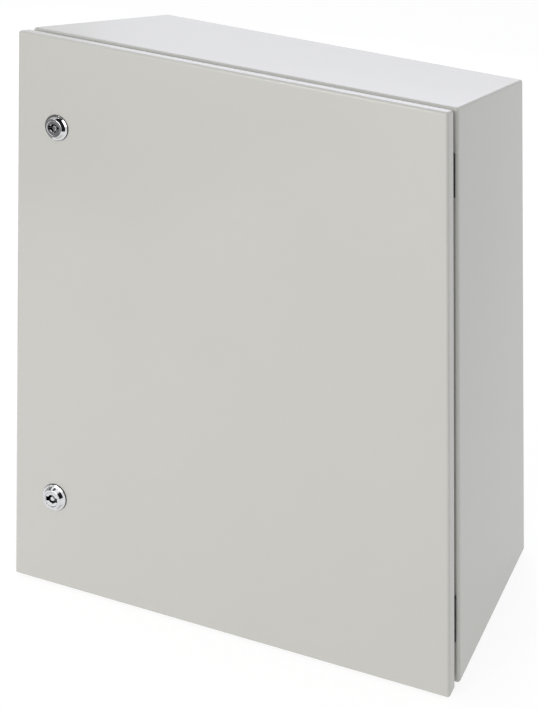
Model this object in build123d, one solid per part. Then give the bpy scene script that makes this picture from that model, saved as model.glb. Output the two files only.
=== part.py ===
from build123d import *
import os

# A wall-mounting sheet steel enclosure with one hinged door and two quarter-turn locks.
# Lengths are in millimetres. X runs across the front, Z runs up.
# While it is modelled, Y is the depth behind the door's front face.
# The export moves that to a frame whose origin is under the middle of the whole object.

# Overall size of the closed enclosure, without the lock heads
width = 500.0
height = 600.0
depth = 250.0

# How far a cutting shape runs past what it cuts, and how near counts as the same place
overcut = 1.0
same_place = 0.01

# Sheet steel of the body, and the inside radius of its bends
body_sheet = 1.5
body_bend = 1.5
rim_width = 22.0
opening_corner = 3.0

# Door: a shallow pan, a little smaller than the body's front
door_sheet = 1.5
door_bend = 0.5
door_fold = 14.0
door_side_gap = 2.0
door_end_gap = 1.5

# Foamed seal on the door, which the lip round the opening meets
seal_width = 14.0
seal_height = 8.2
seal_round = 3.0
seal_corner = 2.0
seal_gap = 0.3

# Concealed hinges on the right, each two leaves on one pin
hinge_from_end = 69.0
hinge_length = 45.0
hinge_inset = 3.0
knuckle_radius = 3.3
knuckle_gap = 0.2
end_play = 0.3
body_knuckle = 22.4
leaf_sheet = 2.0
body_leaf_reach = 13.5
door_leaf_reach = 14.0
leaf_relief = 5.0
hinge_pin_radius = 2.0
hinge_pin_play = 0.05
pin_head_radius = 2.8
pin_head_height = 1.0
pin_overhang = 0.7
hinge_screw_spacing = 28.0
hinge_screw_radius = 2.0
hinge_screw_play = 0.2
hinge_screw_spare = 1.6
hinge_screw_head_radius = 3.5
hinge_screw_head = 2.2
hinge_nut_flats = 7.0
hinge_nut_height = 3.2

# Quarter-turn locks on the left
lock_from_edge = 49.0
lock_from_top = 99.0
lock_from_bottom = 95.0
lock_seal_thickness = 0.8
lock_seal_width = 2.8
lock_seal_overhang = 0.4
flange_radius = 13.6
flange_thickness = 1.2
flange_fall = 0.7
head_base_radius = 11.8
head_face_radius = 10.2
head_rise = 3.4
head_edge = 0.6
thread_radius = 11.0
housing_flats = 20.0
housing_play = 0.15
housing_reach = 21.0
barrel_radius = 7.7
barrel_play = 0.05
barrel_recess = 0.5
collar_step = 1.0
collar_depth = 3.0
collar_play = 0.3
key_hole_radius = 4.3
key_slot_length = 12.0
key_slot_width = 3.0
key_hole_depth = 12.0
key_pin_radius = 2.4
key_pin_recess = 0.9
lock_nut_flats = 27.0
lock_nut_height = 6.0
square_side = 8.0
square_play = 0.1
square_short = 0.2
cam_thickness = 3.0
cam_root_width = 20.0
cam_tip_width = 15.0
cam_hold = 12.5
cam_clearance = 0.7
cam_tip_round = 4.0
cam_screw_radius = 2.45
cam_screw_play = 0.05
cam_screw_bite = 10.0
cam_screw_end_gap = 1.0
cam_screw_flange_radius = 6.5
cam_screw_flange = 1.2
cam_screw_flats = 8.0
cam_screw_head = 3.5

# Perforated rails welded to the inside of the door
rail_width = 25.0
rail_rise = 16.0
rail_sheet = 1.5
rail_bend = 1.0
rail_end_gap = 60.0
rail_from_seal = 9.0
rail_from_lock = 22.0
rail_hole_radius = 3.25
rail_hole_pitch = 50.0
rail_hole_end = 15.0

# Rear panel: a pan welded into the back of the body
rear_flange = 15.0
wall_hole_radius = 4.25
wall_hole_from_edge = 25.0

# Mounting plate on four welded studs
plate_sheet = 2.0
plate_bend = 2.0
plate_fold = 12.0
plate_edge_gap = 31.0
plate_stud_from_edge = 15.0
plate_corner_cut = 6.0
plate_hole_play = 0.5
spacer_length = 20.0
spacer_radius = 8.0
spacer_play = 0.2
plate_stud_radius = 4.0
plate_stud_spare = 3.0
plate_washer_radius = 8.0
plate_washer_thickness = 1.6
plate_nut_flats = 13.0
plate_nut_height = 6.5
nut_play = 0.1

# Gland plate over the cable opening in the bottom
gland_opening_x = 290.0
gland_opening_y = 80.0
gland_opening_corner = 6.0
gasket_width = 10.0
gasket_thickness = 3.0
gasket_set_back = 1.0
gland_sheet = 2.0
gland_margin = 8.0
gland_corner = 4.0
gland_stud_radius = 3.0
gland_stud_from_gasket = 3.0
gland_stud_spare = 4.0
gland_hole_play = 0.5
gland_nut_flats = 10.0
gland_nut_height = 5.0

# Earth studs, one in the body and one in the door
earth_stud_radius = 3.0
earth_stud_length = 16.0
earth_nut_flats = 10.0
earth_nut_height = 5.0
earth_nut_seat = 4.0
body_earth_from_side = 50.0
body_earth_behind_rim = 20.0
door_earth_from_bottom = 36.0

# Depths behind the door's face, and places across it, that follow from the sizes above
body_bend_outside = body_bend + body_sheet
door_width = width - 2 * door_side_gap
door_height = height - 2 * door_end_gap
door_edge = door_width / 2
door_top = height - door_end_gap
door_bottom = door_end_gap
hinge_depth = door_fold + knuckle_gap + knuckle_radius
hinge_x = door_edge - hinge_inset
rim_front = hinge_depth + knuckle_radius + leaf_sheet
rim_back = rim_front + body_sheet
opening_width = width - 2 * rim_width
opening_height = height - 2 * rim_width
lip_edge = door_sheet + seal_height + seal_gap
middle_height = height / 2
seal_line_x = opening_width / 2 + body_sheet / 2
seal_line_z = opening_height / 2 + body_sheet / 2
lock_x = -(door_edge - lock_from_edge)
upper_lock_z = door_top - lock_from_top
lower_lock_z = door_bottom + lock_from_bottom
flange_front = -lock_seal_thickness - flange_thickness
head_front = flange_front - head_rise
barrel_front = head_front + barrel_recess
collar_radius = barrel_radius + collar_step
cam_front = rim_back + cam_clearance
cam_back = cam_front + cam_thickness
cam_length = abs(lock_x + opening_width / 2) + cam_hold
upper_hinge_z = door_top - hinge_from_end
lower_hinge_z = door_bottom + hinge_from_end
hinge_screw_x = hinge_x - (body_leaf_reach + leaf_relief) / 2
rear_inside = depth - body_sheet
plate_back = rear_inside - spacer_length
plate_front = plate_back - plate_sheet
plate_width = width - 2 * plate_edge_gap
plate_height = height - 2 * plate_edge_gap
gland_y = (rim_back + plate_front) / 2
gasket_x = gland_opening_x + 2 * (gasket_set_back + gasket_width)
gasket_y = gland_opening_y + 2 * (gasket_set_back + gasket_width)
gland_stud_x = gasket_x / 2 + gland_stud_from_gasket + gland_stud_radius
gland_stud_y = gasket_y / 2 + gland_stud_from_gasket + gland_stud_radius
gland_plate_x = 2 * (gland_stud_x + gland_margin)
gland_plate_y = 2 * (gland_stud_y + gland_margin)
gland_plate_z = body_sheet + gasket_thickness
lock_head_depth = -head_front
front_to_origin = Pos(0, lock_head_depth - (depth + lock_head_depth) / 2, 0)

# Turns a shape made along +Z so that it points along +Y, into the enclosure
inwards = Rot(X=-90)
on_ground = (Align.CENTER, Align.CENTER, Align.MIN)


def rod(radius, start, end):
    """A round bar along Z from start to end."""
    return Pos(0, 0, start) * Cylinder(radius, end - start, align=on_ground)


def tube(outer_radius, inner_radius, start, end):
    """A round tube along Z from start to end."""
    return rod(outer_radius, start, end) - rod(inner_radius, start - overcut, end + overcut)


def hex_nut(flats, hole_radius, start, end):
    """A hexagonal nut along Z from start to end."""
    prism = extrude(RegularPolygon(flats / 2, 6, major_radius=False), end - start)
    return Pos(0, 0, start) * prism - rod(hole_radius, start - overcut, end + overcut)


def block(low_corner, high_corner):
    """A box between two opposite corners."""
    size = [high - low for low, high in zip(low_corner, high_corner)]
    return Pos(*low_corner) * Box(*size, align=(Align.MIN, Align.MIN, Align.MIN))


def upright_slab(size_x, size_z, corner, start, end):
    """A flat slab centred on the opening, rounded at its corners, between two depths."""
    outline = RectangleRounded(size_x, size_z, corner)
    return Pos(0, start, middle_height) * (inwards * extrude(outline, end - start))


def rounded_block(size_x, size_y, size_z, radius):
    """A block with its front at depth 0, rounded along its depth and round its front."""
    plain = Pos(0, size_y / 2, middle_height) * Box(size_x, size_y, size_z)
    front_outline = plain.faces().sort_by(Axis.Y)[0].edges()
    return fillet(plain.edges().filter_by(Axis.Y) + front_outline, radius)


def pan(size_x, size_z, rise, sheet, inside_radius):
    """A shallow pan of folded sheet, its face at depth 0 and its walls pointing inwards."""
    outside = rounded_block(size_x, rise, size_z, inside_radius + sheet)
    inside = rounded_block(size_x - 2 * sheet, rise, size_z - 2 * sheet, inside_radius)
    return outside - Pos(0, sheet, 0) * inside


def channel(size_x, length, rise, sheet, inside_radius):
    """A folded channel, its web at depth 0, its two long walls pointing inwards."""
    outside = Pos(0, rise / 2, middle_height) * Box(size_x, rise, length)
    long_edges = outside.faces().sort_by(Axis.Y)[0].edges().filter_by(Axis.Z)
    outside = fillet(long_edges, inside_radius + sheet)
    inside = Pos(0, rise / 2 + sheet, middle_height) * Box(
        size_x - 2 * sheet, rise, length + 2 * overcut)
    long_edges = inside.faces().sort_by(Axis.Y)[0].edges().filter_by(Axis.Z)
    return outside - fillet(long_edges, inside_radius)


def round_edges_at(solid, depth_of_edges, reach_x, reach_z, radius):
    """Fillets the edges at one depth that lie round a rectangle of the given half sizes."""
    chosen = solid.edges().filter_by(
        lambda edge: abs(edge.center().Y - depth_of_edges) < same_place
        and abs(edge.center().X) < reach_x + same_place
        and abs(edge.center().Z - middle_height) < reach_z + same_place
    )
    return fillet(chosen, radius)


def enclosure_body():
    """Four walls folded from one sheet, with a rim folded in and a lip folded forwards."""
    walls_outside = Pos(0, rim_front, 0) * rounded_block(
        width, depth - rim_front, height, body_bend_outside)
    walls_inside = Pos(0, rim_back, 0) * rounded_block(
        width - 2 * body_sheet, depth, height - 2 * body_sheet, body_bend)
    opening = upright_slab(opening_width, opening_height, opening_corner, 0, rim_back + overcut)
    lip = upright_slab(opening_width + 2 * body_sheet, opening_height + 2 * body_sheet,
                       opening_corner + body_sheet, lip_edge, rim_back)
    body = walls_outside - walls_inside + lip - opening
    half_x = opening_width / 2
    half_z = opening_height / 2
    body = round_edges_at(body, rim_front, half_x + body_sheet, half_z + body_sheet, body_bend)
    body = round_edges_at(body, rim_back, half_x, half_z, body_bend_outside)
    screw_hole = inwards * rod(
        hinge_screw_radius + hinge_screw_play, rim_front - overcut, rim_back + overcut)
    for place in hinge_screw_places():
        body -= place * screw_hole
    cable_opening = extrude(
        RectangleRounded(gland_opening_x, gland_opening_y, gland_opening_corner),
        body_sheet + 2 * overcut)
    return body - Pos(0, gland_y, -overcut) * cable_opening


def wall_hole_places():
    """Where the four wall fixings go through the rear panel."""
    half_x = width / 2 - wall_hole_from_edge
    half_z = height / 2 - wall_hole_from_edge
    return [Pos(x, 0, middle_height + z) for x in (-half_x, half_x) for z in (-half_z, half_z)]


def plate_stud_places():
    """Where the four studs of the mounting plate stand."""
    half_x = plate_width / 2 - plate_stud_from_edge
    half_z = plate_height / 2 - plate_stud_from_edge
    return [Pos(x, 0, middle_height + z) for x in (-half_x, half_x) for z in (-half_z, half_z)]


def rear_panel():
    """The back of the enclosure: a pan with its walls forwards, and four wall holes."""
    flat_pan = pan(width - 2 * body_sheet, height - 2 * body_sheet, rear_flange,
                   body_sheet, body_bend)
    panel = Pos(0, depth, 0) * mirror(flat_pan, Plane.XZ)
    hole = inwards * rod(wall_hole_radius, rear_inside - overcut, depth + overcut)
    for place in wall_hole_places():
        panel -= place * hole
    return panel


def at_each(places, piece):
    """Copies of one piece at each place, as separate solids of one node."""
    return Compound([place * piece for place in places])


def mounting_plate():
    """The plate that equipment is screwed to, with its two long edges folded back."""
    plate = Pos(0, plate_front, 0) * channel(
        plate_width, plate_height, plate_sheet + plate_fold, plate_sheet, plate_bend)
    hole = inwards * rod(
        plate_stud_radius + plate_hole_play, plate_front - overcut, plate_back + overcut)
    for place in plate_stud_places():
        plate -= place * hole
    half_x = plate_width / 2
    half_z = plate_height / 2
    notch_depth = 2 * (plate_sheet + plate_fold + overcut)
    fold_notch = Box(2 * plate_corner_cut, notch_depth, 2 * plate_corner_cut)
    for x in (-half_x, half_x):
        for z in (-half_z, half_z):
            plate -= Pos(x, plate_front, middle_height + z) * fold_notch
    return plate


def plate_studs():
    """Studs welded to the rear panel."""
    stud_end = plate_front - plate_washer_thickness - plate_nut_height - plate_stud_spare
    stud = inwards * rod(plate_stud_radius, stud_end, rear_inside)
    return at_each(plate_stud_places(), stud)


def plate_spacers():
    """Spacer tubes that hold the plate off the rear panel."""
    spacer = inwards * tube(
        spacer_radius, plate_stud_radius + spacer_play, plate_back, rear_inside)
    return at_each(plate_stud_places(), spacer)


def plate_washers():
    """Washers in front of the plate."""
    washer = inwards * tube(plate_washer_radius, plate_stud_radius + spacer_play,
                            plate_front - plate_washer_thickness, plate_front)
    return at_each(plate_stud_places(), washer)


def plate_nuts():
    """Nuts that hold the plate on its studs."""
    nut_back = plate_front - plate_washer_thickness
    nut = inwards * hex_nut(plate_nut_flats, plate_stud_radius + nut_play,
                            nut_back - plate_nut_height, nut_back)
    return at_each(plate_stud_places(), nut)


def gland_stud_places():
    """Where the six studs of the gland plate stand, three along each long side."""
    return [Pos(x, gland_y + y, 0) for x in (-gland_stud_x, 0, gland_stud_x)
            for y in (-gland_stud_y, gland_stud_y)]


def gland_plate():
    """The cover of the cable opening, which is drilled for cable glands."""
    outline = RectangleRounded(gland_plate_x, gland_plate_y, gland_corner)
    plate = Pos(0, gland_y, gland_plate_z) * extrude(outline, gland_sheet)
    hole = rod(gland_stud_radius + gland_hole_play, gland_plate_z - overcut,
               gland_plate_z + gland_sheet + overcut)
    for place in gland_stud_places():
        plate -= place * hole
    return plate


def gland_gasket():
    """The gasket between the gland plate and the bottom."""
    outer = RectangleRounded(gasket_x, gasket_y, gland_opening_corner + gasket_set_back
                             + gasket_width)
    inner = RectangleRounded(gasket_x - 2 * gasket_width, gasket_y - 2 * gasket_width,
                             gland_opening_corner + gasket_set_back)
    return Pos(0, gland_y, body_sheet) * extrude(outer - inner, gasket_thickness)


def gland_studs():
    """Studs welded to the inside of the bottom, round the cable opening."""
    stud_top = gland_plate_z + gland_sheet + gland_nut_height + gland_stud_spare
    return at_each(gland_stud_places(), rod(gland_stud_radius, body_sheet, stud_top))


def gland_nuts():
    """Nuts that press the gland plate on its gasket."""
    nut_base = gland_plate_z + gland_sheet
    nut = hex_nut(gland_nut_flats, gland_stud_radius + nut_play, nut_base,
                  nut_base + gland_nut_height)
    return at_each(gland_stud_places(), nut)


def earth_stud():
    """A welded earth stud along Z."""
    return rod(earth_stud_radius, 0, earth_stud_length)


def earth_nut():
    """The nut of an earth stud, part of the way along it."""
    return hex_nut(earth_nut_flats, earth_stud_radius + nut_play, earth_nut_seat,
                   earth_nut_seat + earth_nut_height)


body_earth_place = Pos(width / 2 - body_earth_from_side, rim_back + body_earth_behind_rim,
                       body_sheet)


def door_panel():
    """The door: a pan of folded sheet with two holes for the locks."""
    door = pan(door_width, door_height, door_fold, door_sheet, door_bend)
    hole_length = 2 * (door_sheet + overcut)
    round_hole = Cylinder(thread_radius + housing_play, hole_length)
    flat_sides = Box(housing_flats + 2 * housing_play, 4 * thread_radius, hole_length)
    lock_hole = inwards * (round_hole & flat_sides)
    for z in (upper_lock_z, lower_lock_z):
        door -= Pos(lock_x, 0, z) * lock_hole
    return door


def door_seal():
    """A foamed seal round the inside of the door, opposite the lip."""
    line_x = 2 * seal_line_x
    line_z = 2 * seal_line_z
    back = door_sheet + seal_height
    outside = upright_slab(line_x + seal_width, line_z + seal_width, seal_corner + seal_width,
                           door_sheet, back)
    inside = upright_slab(line_x - seal_width, line_z - seal_width, seal_corner,
                          door_sheet - overcut, back + overcut)
    ring = outside - inside
    return fillet(ring.faces().sort_by(Axis.Y)[-1].edges(), min(seal_round, seal_width / 3))


def door_rail(x):
    """A perforated rail welded upright on the inside of the door."""
    length = door_height - 2 * rail_end_gap
    web = mirror(channel(rail_width, length, rail_rise, rail_sheet, rail_bend), Plane.XZ)
    rail = Pos(0, door_sheet + rail_rise, 0) * web
    rail_top = door_sheet + rail_rise
    hole = inwards * rod(rail_hole_radius, rail_top - rail_sheet - overcut, rail_top + overcut)
    count = int((length - 2 * rail_hole_end) // rail_hole_pitch) + 1
    first = middle_height - (count - 1) * rail_hole_pitch / 2
    for step in range(count):
        rail -= Pos(0, 0, first + step * rail_hole_pitch) * hole
    return Pos(x, 0, 0) * rail


hinge_rail_x = seal_line_x - seal_width / 2 - rail_from_seal - rail_width / 2
lock_rail_x = lock_x + rail_from_lock + rail_width / 2
door_earth_place = Pos(hinge_rail_x, door_sheet, door_bottom + door_earth_from_bottom)


def hinge_knuckle(start, end):
    """One knuckle round the hinge's axis, from start to end above the hinge's middle."""
    return rod(knuckle_radius, start, end)


def hinge_bore():
    """The hole for the pin through all knuckles."""
    return rod(hinge_pin_radius + hinge_pin_play, -hinge_length, hinge_length)


def hinge_body_leaf():
    """The leaf on the rim, about the hinge's axis, with the middle knuckle."""
    half = hinge_length / 2
    half_knuckle = body_knuckle / 2
    back = knuckle_radius + leaf_sheet
    plate = block((-body_leaf_reach, knuckle_radius, -half), (-leaf_relief, back, half))
    neck = block((-leaf_relief, knuckle_radius, -half_knuckle), (0, back, half_knuckle))
    web = block((-knuckle_radius, 0, -half_knuckle), (0, back, half_knuckle))
    leaf = plate + neck + web + hinge_knuckle(-half_knuckle, half_knuckle) - hinge_bore()
    hole = inwards * rod(hinge_screw_radius + hinge_screw_play, 0, back + overcut)
    for z in (-hinge_screw_spacing / 2, hinge_screw_spacing / 2):
        leaf -= Pos(hinge_screw_x - hinge_x, 0, z) * hole
    return leaf


def hinge_door_leaf():
    """The leaf inside the door's fold, about the hinge's axis, with the end knuckles."""
    half = hinge_length / 2
    knuckle_end = body_knuckle / 2 + end_play
    fold_inside = hinge_inset - door_sheet
    fold_back = -(knuckle_radius + knuckle_gap)
    low_x = fold_inside - leaf_sheet
    leaf = block((low_x, -door_leaf_reach, -half), (fold_inside, fold_back, half))
    for start, end in ((-half, -knuckle_end), (knuckle_end, half)):
        leaf += block((low_x, fold_back, start), (fold_inside, 0, end))
        leaf += hinge_knuckle(start, end)
    return leaf - hinge_bore()


def hinge_pin():
    """The pin of one hinge, with a flat head above the top knuckle."""
    half = hinge_length / 2
    shank = rod(hinge_pin_radius, -half - pin_overhang, half + end_play)
    head_base = half + end_play
    return shank + rod(pin_head_radius, head_base, head_base + pin_head_height)


def hinge_screw_places():
    """Where the screws of both hinges go through the rim."""
    half = hinge_screw_spacing / 2
    return [Pos(hinge_screw_x, 0, middle + offset)
            for middle in (lower_hinge_z, upper_hinge_z) for offset in (-half, half)]


def hinge_screws():
    """Screws that hold the body leaves on the rim, their heads in front."""
    seat = rim_front - leaf_sheet
    head = rod(hinge_screw_head_radius, seat - hinge_screw_head, seat)
    head = fillet(head.edges().sort_by(Axis.Z)[0], hinge_screw_head / 2)
    shank = rod(hinge_screw_radius, seat, rim_back + hinge_nut_height + hinge_screw_spare)
    return at_each(hinge_screw_places(), inwards * (head + shank))


def hinge_nuts():
    """Nuts of the hinge screws, behind the rim."""
    nut = inwards * hex_nut(hinge_nut_flats, hinge_screw_radius + nut_play, rim_back,
                            rim_back + hinge_nut_height)
    return at_each(hinge_screw_places(), nut)


def lock_housing():
    """The fixed part of a lock along Z, its head in front of the door at negative Z."""
    bore = barrel_radius + barrel_play
    collar_bore = collar_radius + barrel_play
    flange_back = -lock_seal_thickness
    profile = Polyline(
        (bore, head_front),
        (head_face_radius - head_edge, head_front),
        (head_face_radius, head_front + head_edge),
        (head_base_radius, flange_front),
        (flange_radius, flange_front + flange_fall),
        (flange_radius, flange_back),
        (thread_radius, flange_back),
        (thread_radius, housing_reach),
        (collar_bore, housing_reach),
        (collar_bore, collar_depth),
        (bore, collar_depth),
        close=True,
    )
    housing = revolve(Plane.XZ * make_face(profile), Axis.Z)
    for side in (-1, 1):
        low_x = min(side * housing_flats / 2, side * 2 * thread_radius)
        high_x = max(side * housing_flats / 2, side * 2 * thread_radius)
        housing -= block((low_x, -2 * thread_radius, flange_back),
                         (high_x, 2 * thread_radius, housing_reach + overcut))
    return housing


def lock_seal():
    """The flat seal between a lock's flange and the door."""
    outer = flange_radius + lock_seal_overhang
    return tube(outer, outer - lock_seal_width, -lock_seal_thickness, 0)


def lock_nut():
    """The thin nut that holds a lock in the door."""
    return hex_nut(lock_nut_flats, thread_radius + nut_play, door_sheet,
                   door_sheet + lock_nut_height)


def lock_barrel():
    """The turning part of a lock: a barrel with a double-bit key hole and a square."""
    barrel = rod(barrel_radius, barrel_front, collar_depth + collar_play)
    barrel += rod(collar_radius, collar_depth + collar_play, cam_front)
    square_end = cam_back - square_short
    barrel += block((-square_side / 2, -square_side / 2, cam_front),
                    (square_side / 2, square_side / 2, square_end))
    hole_end = barrel_front + key_hole_depth
    slot_start = barrel_front - overcut
    key_hole = rod(key_hole_radius, slot_start, hole_end)
    key_hole += block((-key_slot_length / 2, -key_slot_width / 2, slot_start),
                      (key_slot_length / 2, key_slot_width / 2, hole_end))
    key_hole -= rod(key_pin_radius, barrel_front + key_pin_recess, hole_end + overcut)
    screw_hole = rod(cam_screw_radius + cam_screw_play, cam_back - cam_screw_bite, cam_back)
    return barrel - key_hole - screw_hole


def lock_cam():
    """The tongue that a lock turns behind the rim, pointing down when unlocked."""
    sides = Polyline(
        (-cam_root_width / 2, 0),
        (-cam_tip_width / 2, -cam_length),
        (cam_tip_width / 2, -cam_length),
        (cam_root_width / 2, 0),
        close=True,
    )
    tongue = make_face(sides)
    tongue = fillet(tongue.vertices().group_by(Axis.Y)[0], cam_tip_round)
    outline = tongue + Circle(cam_root_width / 2)
    side = square_side + 2 * square_play
    outline -= Rectangle(side, side)
    return extrude(outline, cam_thickness)


def cam_screw():
    """The flanged screw that holds the cam on the barrel."""
    head_start = cam_back + cam_screw_flange
    screw = rod(cam_screw_radius, cam_back - cam_screw_bite + cam_screw_end_gap, cam_back)
    screw += rod(cam_screw_flange_radius, cam_back, head_start)
    head = extrude(RegularPolygon(cam_screw_flats / 2, 6, major_radius=False), cam_screw_head)
    return screw + Pos(0, 0, head_start) * head


# The cam's outline is drawn upright in X and Z and thickened inwards from its front
cam_in_place = Pos(0, cam_back, 0) * Rot(X=90)


def save(node, shape):
    """Writes one node, moved to the object's own frame."""
    export_step(front_to_origin * shape, f"parts/{node}.step")


def main():
    """Builds every node and writes it."""
    os.makedirs("parts", exist_ok=True)

    save("enclosure_body", enclosure_body())
    save("rear_panel", rear_panel())
    save("mounting_plate", mounting_plate())
    save("plate_studs", plate_studs())
    save("plate_spacers", plate_spacers())
    save("plate_washers", plate_washers())
    save("plate_nuts", plate_nuts())
    save("gland_plate", gland_plate())
    save("gland_gasket", gland_gasket())
    save("gland_studs", gland_studs())
    save("gland_nuts", gland_nuts())
    save("body_earth_stud", body_earth_place * earth_stud())
    save("body_earth_nut", body_earth_place * earth_nut())

    save("door_panel", door_panel())
    save("door_seal", door_seal())
    save("hinge_side_rail", door_rail(hinge_rail_x))
    save("lock_side_rail", door_rail(lock_rail_x))
    save("door_earth_stud", door_earth_place * inwards * earth_stud())
    save("door_earth_nut", door_earth_place * inwards * earth_nut())

    save("hinge_screws", hinge_screws())
    save("hinge_nuts", hinge_nuts())
    for name, z in (("upper", upper_hinge_z), ("lower", lower_hinge_z)):
        axis_place = Pos(hinge_x, hinge_depth, z)
        save(f"{name}_hinge_body_leaf", axis_place * hinge_body_leaf())
        save(f"{name}_hinge_door_leaf", axis_place * hinge_door_leaf())
        save(f"{name}_hinge_pin", axis_place * hinge_pin())

    for name, z in (("upper", upper_lock_z), ("lower", lower_lock_z)):
        lock_place = Pos(lock_x, 0, z)
        save(f"{name}_lock_housing", lock_place * inwards * lock_housing())
        save(f"{name}_lock_seal", lock_place * inwards * lock_seal())
        save(f"{name}_lock_nut", lock_place * inwards * lock_nut())
        save(f"{name}_lock_barrel", lock_place * inwards * lock_barrel())
        save(f"{name}_lock_cam", lock_place * cam_in_place * lock_cam())
        save(f"{name}_cam_screw", lock_place * inwards * cam_screw())


main()
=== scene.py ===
"""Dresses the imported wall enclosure: folded sheet steel, quarter-turn locks, hinges and inner fittings.

Lengths are in millimetres while a piece is shaped, and become metres when it is finished.
X runs across the front, Y runs into the enclosure and Z runs up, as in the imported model.
"""

import logging
import math
from dataclasses import dataclass
from dataclasses import field
from enum import Enum
from typing import Any
from typing import Iterable
from typing import Sequence

import bmesh
import bpy
import numpy as np
from mathutils import Matrix
from mathutils import Vector
from mathutils import noise


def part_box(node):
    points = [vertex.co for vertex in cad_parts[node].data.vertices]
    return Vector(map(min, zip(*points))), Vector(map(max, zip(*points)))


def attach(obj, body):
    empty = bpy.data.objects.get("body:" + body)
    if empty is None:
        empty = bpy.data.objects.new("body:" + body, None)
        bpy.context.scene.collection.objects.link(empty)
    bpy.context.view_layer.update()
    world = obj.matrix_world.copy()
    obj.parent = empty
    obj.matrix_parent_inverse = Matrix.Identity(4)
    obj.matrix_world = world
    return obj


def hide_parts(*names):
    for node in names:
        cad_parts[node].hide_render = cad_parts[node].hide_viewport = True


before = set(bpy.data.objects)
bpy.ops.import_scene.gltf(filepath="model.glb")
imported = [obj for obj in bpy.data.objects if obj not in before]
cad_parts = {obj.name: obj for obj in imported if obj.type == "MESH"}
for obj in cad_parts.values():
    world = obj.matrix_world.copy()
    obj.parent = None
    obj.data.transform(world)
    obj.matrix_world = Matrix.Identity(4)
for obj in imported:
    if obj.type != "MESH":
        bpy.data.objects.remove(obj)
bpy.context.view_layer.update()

LOG = logging.getLogger("enclosure")
MILLIMETRE = 0.001
SMOOTH_BELOW = math.radians(35)
WELD = 0.001
INWARDS = Matrix.Rotation(math.radians(-90), 4, "X")
Shape = bmesh.types.BMesh
Socket = bpy.types.NodeSocket


class Slot(Enum):
    """The record's material slots."""

    POWDER_COAT = "grey_powder_coat"
    GALVANISED = "galvanised_steel"
    ZINC_PLATE = "zinc_plated_steel"
    CHROME = "chromed_zinc"
    BLACK_COAT = "black_coated_steel"
    FOAM = "foamed_seal"
    RUBBER = "black_rubber"


class Body(Enum):
    """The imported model's moving bodies."""

    ENCLOSURE = "enclosure"
    DOOR = "door"
    UPPER_LATCH = "upper_latch"
    LOWER_LATCH = "lower_latch"


class Level(Enum):
    """The two heights at which locks and hinges come."""

    UPPER = "upper"
    LOWER = "lower"

    @property
    def latch(self) -> Body:
        """The body that turns with this height's lock."""
        return Body.UPPER_LATCH if self is Level.UPPER else Body.LOWER_LATCH

    def box(self, node: str) -> "Box":
        """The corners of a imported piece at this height."""
        return Box.of(f"{self.value}_{node}")


@dataclass(frozen=True)
class Box:
    """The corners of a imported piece, in millimetres."""

    low: Vector
    high: Vector

    @classmethod
    def of(cls, node: str) -> "Box":
        """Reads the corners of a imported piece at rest."""
        low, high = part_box(node)
        return cls(low / MILLIMETRE, high / MILLIMETRE)

    @property
    def middle(self) -> Vector:
        """The middle of the box."""
        return (self.low + self.high) / 2

    @property
    def size(self) -> Vector:
        """The box's three lengths."""
        return self.high - self.low

    def span(self, axis: str = "y") -> tuple[float, float]:
        """Where the box starts and ends along an axis."""
        return (getattr(self.low, axis), getattr(self.high, axis))

    def near_corners(self, margin: float, depth: float = 0.0) -> list[Matrix]:
        """Four places near the corners of an upright plate, each pointing inwards.

        Args:
            margin: How far they are from the plate's edges.
            depth: Where they are along Y.

        Returns:
            The places.
        """
        half_x = self.size.x / 2 - margin
        half_z = self.size.z / 2 - margin
        return [at(x, depth, self.middle.z + z) @ INWARDS
                for x in (-half_x, half_x) for z in (-half_z, half_z)]


def linear(colour: str) -> tuple[float, float, float, float]:
    """Turns an sRGB hex colour, such as "C9C8C3", into linear red, green, blue and a full alpha."""
    shares = [int(colour[start:start + 2], 16) / 255 for start in (0, 2, 4)]
    return (*(share / 12.92 if share <= 0.04045 else ((share + 0.055) / 1.055) ** 2.4
              for share in shares), 1.0)


def fill(tree: bpy.types.NodeTree, node: bpy.types.Node, inputs: dict[str | int, Any]) -> None:
    """Gives a node's inputs their values and links.

    Args:
        tree: The node's tree.
        node: The node.
        inputs: For each input, its value or the output that is linked to it.
    """
    for name, value in inputs.items():
        if isinstance(value, Socket):
            tree.links.new(value, node.inputs[name])
        else:
            node.inputs[name].default_value = value


def add_node(
    tree: bpy.types.NodeTree, kind: str, inputs: dict[str | int, Any] | None = None, **settings: Any,
) -> bpy.types.Node:
    """Adds one shader node with its settings, values and links.

    Args:
        tree: The material's or world's node tree.
        kind: The node's type, such as "Bump".
        inputs: For each input, its value or the output that is linked to it.
        settings: Properties of the node itself.

    Returns:
        The new node.
    """
    node = tree.nodes.new(f"ShaderNode{kind}")
    for name, value in settings.items():
        setattr(node, name, value)
    fill(tree, node, inputs or {})
    return node


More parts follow.
